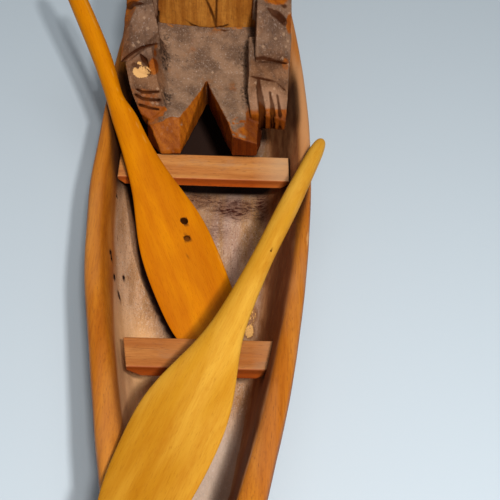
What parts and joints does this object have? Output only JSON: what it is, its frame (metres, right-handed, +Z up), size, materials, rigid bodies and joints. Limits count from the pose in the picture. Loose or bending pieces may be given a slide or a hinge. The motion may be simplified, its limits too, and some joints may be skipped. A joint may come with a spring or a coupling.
{
  "type": "carved wooden souvenir canoe with seated figure and paddles",
  "caption": "Small carved wooden canoe with thwarts, a seated carved figure aft and two loose leaf-bladed paddles lying across the hull.",
  "frame": {"origin": "on the flat of the keel at mid-length, on the centre plane", "axes": "+X to the bow, +Y to port, +Z up"},
  "size_m": [0.34, 0.0774, 0.091],
  "materials": {
    "hull_wood": "varnished softwood, satin, dusty inside",
    "thwart_wood": "varnished softwood, satin",
    "paddle_yellow": "varnished pale wood, smooth satin",
    "paddle_orange": "varnished orange wood, smooth satin",
    "figure_wood": "hand-cut facets, dark stain worn to raw wood at the edges"
  },
  "bodies": {
    "root": {"hull": "hull_wood", "thwart_aft": "thwart_wood", "thwart_mid": "thwart_wood", "thwart_fore": "thwart_wood", "paddle_loose": "paddle_yellow", "paddle_stowed": "paddle_orange", "seated_figure": "figure_wood"}
  },
  "joints": []
}
